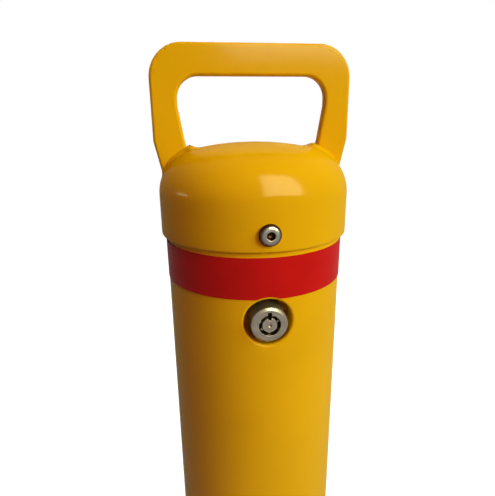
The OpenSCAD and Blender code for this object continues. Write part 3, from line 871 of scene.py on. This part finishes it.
class BOLLARD_OT_handle(bpy.types.Operator):
    """Makes the handle's plate and the weld beads at its feet"""

    bl_idname = "bollard.handle"
    bl_label = "Handle and welds"
    # The plate's outline. Heights are measured from the cap's rim.
    foot_half = 43.9 * MM
    foot_height = 28.7 * MM
    waist_height = 46.3 * MM
    bend_height = 62 * MM
    grip_foot_height = 36 * MM
    waist_narrow = 2.6 * MM
    foot_narrow = 5.1 * MM
    clear = 0.6 * MM
    sunk = 0.8 * MM
    edge_steps = 5
    corner_steps = 14
    leg_steps = 6
    bend_steps = 3
    foot_steps = 8
    # The weld beads: leg lengths, rise and how far the edges are sunk in.
    bead = 3.2 * MM
    bead_inner = 6.5 * MM
    bead_toe = 1.2 * MM
    bead_rise = 2.2 * MM
    bead_sunk = 0.7 * MM
    toe_sunk = 0.25 * MM
    bead_hollow = 0.16
    bead_top = 1.02
    inner_taper = 3 * MM
    outer_taper = 7 * MM
    side_inset = 0.3 * MM
    face_inset = 0.2 * MM
    # Share, step and shift of the waves along a bead.
    ripples = ((0.04, 2.1, 0.0), (0.02, 0.9, 1.0))
    face_shares = (0.12, 0.3, 0.5, 0.72, 0.9)
    side_stations = 26
    end_stations = 12
    turn_stations = 8

    def execute(self, context):
        sizes = context.scene.bollard_sizes
        plate = self.make_plate(sizes)
        settle(plate, "post", ["handle"])
        beads = self.make_beads(sizes)
        settle(beads, "post", ["handle_welds"])
        return {"FINISHED"}

    def inner_foot(self, sizes):
        """Distance from the post's axis to a foot's inner side."""
        return sizes.grip_width / 2 - self.foot_narrow

    def outer_side(self, sizes, inset):
        """Right half of the plate's outer side, from the dome to the middle of the bar."""
        half = HANDLE_HIGH.x - inset
        top = HANDLE_HIGH.z - CAP_LOW.z - inset
        foot = self.foot_half - inset
        slope = (HANDLE_HIGH.x - self.foot_half) / (self.waist_height - self.foot_height)
        radius = sizes.outer_corner - inset
        start = dome_height(foot) - CAP_LOW.z + self.clear
        points = []
        for k in range(self.leg_steps + 1):
            z = start + (self.waist_height - start) * k / self.leg_steps
            points.append((min(half, foot + slope * (z - self.foot_height)), z))
        points.append((half, self.bend_height))
        return points + arc(half - radius, top - radius, radius, 0, 90, self.corner_steps)

    def inner_side(self, sizes, inset):
        """Right half of the grip's side, from the dome to the middle of the bar, with as many points."""
        half = sizes.grip_width / 2
        top = HANDLE_HIGH.z - CAP_LOW.z - sizes.bar_height
        foot = self.inner_foot(sizes) + inset
        waist = half - self.waist_narrow + inset
        corner = sizes.inner_corner
        start = dome_height(foot) - CAP_LOW.z + self.clear
        leg_steps = self.leg_steps + 1 - self.bend_steps
        points = []
        for k in range(leg_steps + 1):
            z = start + (self.waist_height - start) * k / leg_steps
            share = (z - self.grip_foot_height) / (self.waist_height - self.grip_foot_height)
            points.append((foot + (waist - foot) * share, z))
        for k in range(1, self.bend_steps + 1):
            share = k / self.bend_steps
            z = self.waist_height + (self.bend_height - self.waist_height) * share
            points.append((waist + (half + inset - waist) * share, z))
        return points + arc(half - corner, top - corner, corner + inset, 0, 90, self.corner_steps)

    def make_plate(self, sizes):
        """Lofts the outline through the plate's thickness, drawn in along the rounded edges."""
        layers = []
        for k in range(self.edge_steps + 1):
            a = math.radians(90 * k / self.edge_steps)
            layers.append((sizes.plate_edge * (1 - math.sin(a)), sizes.plate_edge * (1 - math.cos(a))))
        layers += [(inset, sizes.plate - depth) for inset, depth in reversed(layers)]
        verts, faces = [], []
        half = 0
        for inset, depth in layers:
            y = depth - sizes.plate / 2
            outer, inner = self.outer_side(sizes, inset), self.inner_side(sizes, inset)
            foot = self.foot_run(outer[0][0], inner[0][0], y)
            middle = self.foot_steps // 2
            out_side = foot[: middle + 1][::-1] + outer
            in_side = foot[middle:] + inner
            if len(out_side) != len(in_side):
                raise ValueError("the handle's outer and inner sides need as many points")
            out_loop = out_side + [(-x, z) for x, z in reversed(out_side)]
            in_loop = in_side + [(-x, z) for x, z in reversed(in_side)]
            half = len(out_loop)
            verts += [(x, y, CAP_LOW.z + z) for x, z in out_loop + in_loop]
        n = 2 * half
        last = (len(layers) - 1) * n
        for k in range(len(layers) - 1):
            for i in range(half - 1):
                a, b = k * n + i, (k + 1) * n + i
                faces.append((a, a + 1, b + 1, b))
                faces.append((a + half, b + half, b + half + 1, a + half + 1))
        for i in range(half - 1):
            faces.append((i, i + half, i + half + 1, i + 1))
            faces.append((last + i, last + i + 1, last + i + half + 1, last + i + half))
        piece = tidy_mesh(mesh_object("handle_plate", verts, faces, "yellow_powder_coat"))
        piece.modifiers.new("flat faces", "WEIGHTED_NORMAL").mode = "FACE_AREA"
        return piece

    def foot_run(self, x_out, x_in, y):
        """Points under a foot, from its outer to its inner corner, just below the dome's surface."""
        spots = [x_out + (x_in - x_out) * k / self.foot_steps for k in range(self.foot_steps + 1)]
        return [(x, dome_height(math.hypot(x, y)) - CAP_LOW.z - self.sunk) for x in spots]

    def make_beads(self, sizes):
        """Fillet welds round both feet: a soft bead with faint ripples under the coat."""
        verts, faces = [], []
        for side in (1, -1):
            start = len(verts)
            sections = []
            for index, (x, y, turn) in enumerate(self.stations(sizes)):
                waves = (share * math.sin(index * step + shift) for share, step, shift in self.ripples)
                leg = self.bead_leg(x, sizes) * sum(waves, 1.0)
                sections.append(self.bead_section(x, y, turn, leg))
            verts += [(side * x, y, z) for section in sections for x, y, z in section]
            n, count = len(sections[0]), len(sections)
            for i in range(count):
                here, there = start + i * n, start + (i + 1) % count * n
                faces += [(here + k, there + k, there + (k + 1) % n, here + (k + 1) % n) for k in range(n)]
        return tidy_mesh(mesh_object("handle_weld_beads", verts, faces, "yellow_powder_coat"))

    def stations(self, sizes):
        """Points round one foot: (x, y, direction of the outward normal in degrees)."""
        x0, x1 = self.inner_foot(sizes), self.foot_half - self.side_inset
        y1 = sizes.plate / 2 - self.face_inset
        corners = ((x0, -y1), (x1, -y1), (x1, y1), (x0, y1))
        run = []
        for side, (xa, ya) in enumerate(corners):
            xb, yb = corners[(side + 1) % 4]
            turn = 90 * side - 90
            steps = self.end_stations if side % 2 else self.side_stations
            run += [(xa + (xb - xa) * k / steps, ya + (yb - ya) * k / steps, turn) for k in range(steps)]
            run += [(xb, yb, turn + 90 * k / self.turn_stations) for k in range(self.turn_stations)]
        return run

    def bead_leg(self, x, sizes):
        """Leg length of the bead, widest at the inner corners and thin at the shoulder."""
        inner = self.inner_foot(sizes)
        return np.interp(
            x,
            (inner, inner + self.inner_taper, self.foot_half - self.outer_taper, self.foot_half),
            (self.bead_inner, self.bead, self.bead, self.bead_toe),
        )

    def bead_section(self, x, y, turn, leg):
        """Points round the bead at one station: root, toe on the dome, hollow face, toe on the plate."""
        ox, oy = math.cos(math.radians(turn)), math.sin(math.radians(turn))
        root = (x - self.bead_sunk * ox, y - self.bead_sunk * oy)
        base = dome_height(math.hypot(x, y))
        rise = min(leg, self.bead_rise)
        toe = (x + leg * ox, y + leg * oy)
        points = [(*root, base - self.bead_sunk), (*toe, dome_height(math.hypot(*toe)) - self.toe_sunk)]
        for share in self.face_shares:
            reach = leg * (1 - share)
            px, py = x + reach * ox, y + reach * oy
            lift = rise * (share - self.bead_hollow * math.sin(math.pi * share))
            points.append((px, py, dome_height(math.hypot(px, py)) * (1 - share) + base * share + lift))
        points.append((*root, base + rise * self.bead_top))
        return points


class BOLLARD_OT_lock(bpy.types.Operator):
    """Finishes the lock: housing, plug, pins, sleeve and nut"""

    bl_idname = "bollard.lock"
    bl_label = "Lock"
    widths = {"lock_body": 0.22, "lock_plug": 0.15, "lock_pins": 0.12, "lock_sleeve": 0.3, "lock_nut": 0.4}

    def execute(self, context):
        eased_all(self.widths)
        return {"FINISHED"}


class BOLLARD_OT_cap_screws(bpy.types.Operator):
    """Makes the cap's button head screws, one turned copy at each place, and finishes their weld nuts"""

    bl_idname = "bollard.cap_screws"
    bl_label = "Cap screws"
    shank = 2.45 * MM
    reach = 12 * MM
    tip_ease = 0.4 * MM
    head_height = 2.8 * MM
    lower_inset = 0.25 * MM
    lower_rise = 0.2 * MM
    flank = 0.7 * MM
    flat_share = 0.58
    flat_fall = 0.05 * MM
    rim_fall = 0.02 * MM
    dome_turns = (15, 30, 45, 60, 75, 88)
    socket = 3.2 * MM
    socket_rim = 0.35 * MM
    socket_depth = 1.8 * MM
    # How much wider than the socket each of its rings is, and how deep it lies.
    socket_rings = ((0.12 * MM, 0.05 * MM), (0.0, 0.2 * MM), (0.0, socket_depth))
    socket_cone = 0.6 * MM
    socket_turn = math.radians(8)
    around = 48
    copies = 3

    def execute(self, context):
        piece = self.make_screw()
        self.turned_copies().apply(
            piece, {"Copies": self.copies, "Finish": finish_of("stainless_steel")}
        )
        settle(piece, "post", ["cap_screws"])
        eased("cap_nuts", 0.3 * MM)
        return {"FINISHED"}

    def profile(self):
        """Radius and height above the cap of each ring, from the shank's end to the socket's rim."""
        head = (SCREW_HIGH.z - SCREW_LOW.z) / 2
        flat = self.flat_share * head
        rise = self.head_height
        tip = -self.reach
        rings = [(0.0, tip), (self.shank - self.tip_ease, tip), (self.shank, tip + self.tip_ease)]
        rings += [(self.shank, 0.0), (head - self.lower_inset, 0.0), (head, self.lower_rise)]
        rings.append((head, self.flank))
        for turn in self.dome_turns:
            a = math.radians(turn)
            dome = (rise - self.flank - self.flat_fall) * math.sin(a)
            rings.append((flat + (head - flat) * math.cos(a), self.flank + dome))
        corner = self.socket / 2 / math.cos(math.pi / 6)
        rings.append((corner + self.socket_rim, rise - self.rim_fall))
        return rings

    def make_screw(self):
        """A screw in front of the cap, its socket sunk in from the head's flat."""
        n = self.around
        base, axis = -CAP_HIGH.x, (SCREW_LOW.z + SCREW_HIGH.z) / 2
        rise = self.head_height
        rings = [[(r, h)] * n for r, h in self.profile()]
        for wider, depth in self.socket_rings:
            hexagon = []
            for k in range(n):
                turn = (2 * math.pi * k / n) % (math.pi / 3) - math.pi / 6
                hexagon.append(((self.socket / 2 + wider) / math.cos(turn), rise - depth))
            rings.append(hexagon)
        rings.append([(0.0, rise - self.socket_depth - self.socket_cone)] * n)
        verts, faces, radii = [], [], []
        for ring in rings:
            for k, (r, h) in enumerate(ring):
                turn = 2 * math.pi * k / n + self.socket_turn
                verts.append((r * math.sin(turn), base - h, axis + r * math.cos(turn)))
                radii.append(r)
        for row in range(len(rings) - 1):
            for k in range(n):
                m = (k + 1) % n
                faces.append((row * n + k, row * n + m, (row + 1) * n + m, (row + 1) * n + k))
        piece = mesh_object("cap_button_screws", verts, faces, "stainless_steel")
        distance = piece.data.attributes.new(AXIS_DISTANCE, "FLOAT", "POINT")
        distance.data.foreach_set("value", radii)
        return tidy_mesh(piece)

    def turned_copies(self):
        """A tree that turns copies of a piece about the post's axis."""
        build = PieceTree("turned copies", [("Copies", "Int")])
        count = build.inputs["Copies"]
        points = build.add("GeometryNodePoints", [("Count", count)])
        step = build.math("DIVIDE", 2 * math.pi, count)
        turn = build.math("MULTIPLY", build.add("GeometryNodeInputIndex").outputs[0], step)
        angles = build.add("ShaderNodeCombineXYZ", [("Z", turn)])
        rotation = build.add("FunctionNodeEulerToRotation", [("Euler", angles.outputs[0])])
        copies = build.add(
            "GeometryNodeInstanceOnPoints",
            [
                ("Points", points.outputs[0]),
                ("Instance", build.inputs["Geometry"]),
                ("Rotation", rotation.outputs[0]),
            ],
        )
        build.close(copies.outputs[0])
        return build


class BOLLARD_OT_base(bpy.types.Operator):
    """Finishes the base plate, the spigot, its weld and the centring rings"""

    bl_idname = "bollard.base"
    bl_label = "Base"
    widths = {"spigot": 0.4, "spigot_weld": 0.3, "centring_rings": 0.3}

    def execute(self, context):
        eased("base_plate", 0.6 * MM, 3)
        eased_all(self.widths)
        return {"FINISHED"}


class BOLLARD_OT_works(bpy.types.Operator):
    """Finishes the works inside the post"""

    bl_idname = "bollard.works"
    bl_label = "Lock works"
    widths = {
        "lock_cam": 0.3, "crank_pin": 0.3, "cam_screw": 0.15, "upper_guide": 0.4, "latch_carrier": 0.5,
        "draw_rod": 0.4, "rod_yoke": 0.4, "yoke_pin": 0.3, "spring_collar": 0.4, "collar_screw": 0.15,
        "bolt_stirrup": 0.4, "rod_nut": 0.5, "locking_bolt": 0.5, "drive_pin": 0.4,
    }

    def execute(self, context):
        eased_all(self.widths)
        return {"FINISHED"}


class BOLLARD_OT_spring(bpy.types.Operator):
    """Winds the rod's spring at rest. The real spring closes up as the rod rises; this piece stays fixed and
    doesn't follow the rod.
    """

    bl_idname = "bollard.spring"
    bl_label = "Rod spring"
    points_per_turn = 40
    wire_sides = 12

    def execute(self, context):
        sizes = context.scene.bollard_sizes
        wire = sizes.spring_wire
        piece = mesh_object("rod_spring_wound", [(0, 0, 0)], [], "spring_steel")
        self.wound_wire().apply(
            piece,
            {
                "Turns": sizes.spring_turns,
                "Mean radius": SPRING_HIGH.x - wire,
                "Wire radius": wire,
                "Low": SPRING_LOW.z + wire,
                "High": SPRING_HIGH.z - wire,
                "Finish": finish_of("spring_steel"),
            },
        )
        tidy_mesh(piece)
        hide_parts("rod_spring")
        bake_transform(piece)
        return {"FINISHED"}

    def wound_wire(self):
        """A tree that winds a wire into a spring whose end turns lie closed."""
        names = ("Mean radius", "Wire radius", "Low", "High")
        build = PieceTree("wound wire", [("Turns", "Int"), *((name, "Float") for name in names)])
        turns = build.inputs["Turns"]
        radius, wire, low, high = (build.inputs[name] for name in names)
        line = build.add("GeometryNodeCurvePrimitiveLine")
        points = build.math("MULTIPLY", turns, self.points_per_turn)
        fine = build.add("GeometryNodeResampleCurve", [("Curve", line.outputs[0]), ("Count", points)])
        along = build.add("GeometryNodeSplineParameter").outputs["Factor"]
        turned = build.math("MULTIPLY", along, turns)
        height = self.height(build, turns, turned, build.math("MULTIPLY", wire, 2.0), (low, high))
        angle = build.math("MULTIPLY", turned, 2 * math.pi)
        x, y = (
            build.math("MULTIPLY", build.math(wave, angle), radius) for wave in ("COSINE", "SINE")
        )
        spot = build.add("ShaderNodeCombineXYZ", [("X", x), ("Y", y), ("Z", height)])
        helix = build.add(
            "GeometryNodeSetPosition", [("Geometry", fine.outputs[0]), ("Position", spot.outputs[0])]
        )
        section = build.add(
            "GeometryNodeCurvePrimitiveCircle", [("Resolution", self.wire_sides), ("Radius", wire)]
        )
        tube = build.add(
            "GeometryNodeCurveToMesh",
            [
                ("Curve", helix.outputs[0]),
                ("Profile Curve", section.outputs["Curve"]),
                ("Fill Caps", True),
            ],
        )
        build.close(tube.outputs[0])
        return build

    def height(self, build, turns, turned, pitch, ends):
        """Height of the wire's middle: one closed turn at each end, and even turns between them."""
        low, high = ends
        last = build.math("SUBTRACT", turns, 1.0)
        middle = build.add(
            "ShaderNodeMapRange", [("Value", turned), ("From Min", 1.0), ("From Max", last)]
        ).outputs["Result"]
        first_turn = build.math("MULTIPLY", build.math("MINIMUM", turned, 1.0), pitch)
        past = build.math("MAXIMUM", build.math("SUBTRACT", turned, last), 0.0)
        closed = build.math("ADD", first_turn, build.math("MULTIPLY", past, pitch))
        span = build.math("SUBTRACT", high, low)
        free = build.math("SUBTRACT", span, build.math("MULTIPLY", pitch, 2.0))
        rise = build.math("ADD", build.math("MULTIPLY", middle, free), closed)
        return build.math("ADD", rise, low)


class BOLLARD_PT_panel(bpy.types.Panel):
    """Lists the pieces of the bollard"""

    bl_label = "Bollard"
    bl_idname = "BOLLARD_PT_panel"
    bl_space_type = "VIEW_3D"
    bl_region_type = "UI"
    bl_category = "Bollard"

    def draw(self, context):
        layout = self.layout
        for operator in OPERATORS:
            layout.operator(operator.bl_idname)
        for name in GROUPS:
            group = getattr(context.scene, name)
            box = layout.box()
            for value in group.__annotations__:
                box.prop(group, value)


OPERATORS = (
    BOLLARD_OT_stage,
    BOLLARD_OT_post_tube,
    BOLLARD_OT_reflective_band,
    BOLLARD_OT_cap,
    BOLLARD_OT_handle,
    BOLLARD_OT_lock,
    BOLLARD_OT_cap_screws,
    BOLLARD_OT_base,
    BOLLARD_OT_works,
    BOLLARD_OT_spring,
)
GROUPS = {"bollard_sizes": BollardSizes, "bollard_colours": BollardColours, "bollard_view": BollardView}


def register():
    for group in GROUPS.values():
        bpy.utils.register_class(group)
    for name, group in GROUPS.items():
        setattr(bpy.types.Scene, name, bpy.props.PointerProperty(type=group))
    for cls in (*OPERATORS, BOLLARD_PT_panel):
        bpy.utils.register_class(cls)


def unregister():
    for cls in (BOLLARD_PT_panel, *reversed(OPERATORS)):
        bpy.utils.unregister_class(cls)
    for name, group in GROUPS.items():
        delattr(bpy.types.Scene, name)
        bpy.utils.unregister_class(group)


def main():
    """Builds the whole scene."""
    register()
    for operator in OPERATORS:
        group, name = operator.bl_idname.split(".")
        getattr(getattr(bpy.ops, group), name)()
    bpy.context.view_layer.update()


if __name__ == "__main__":
    main()
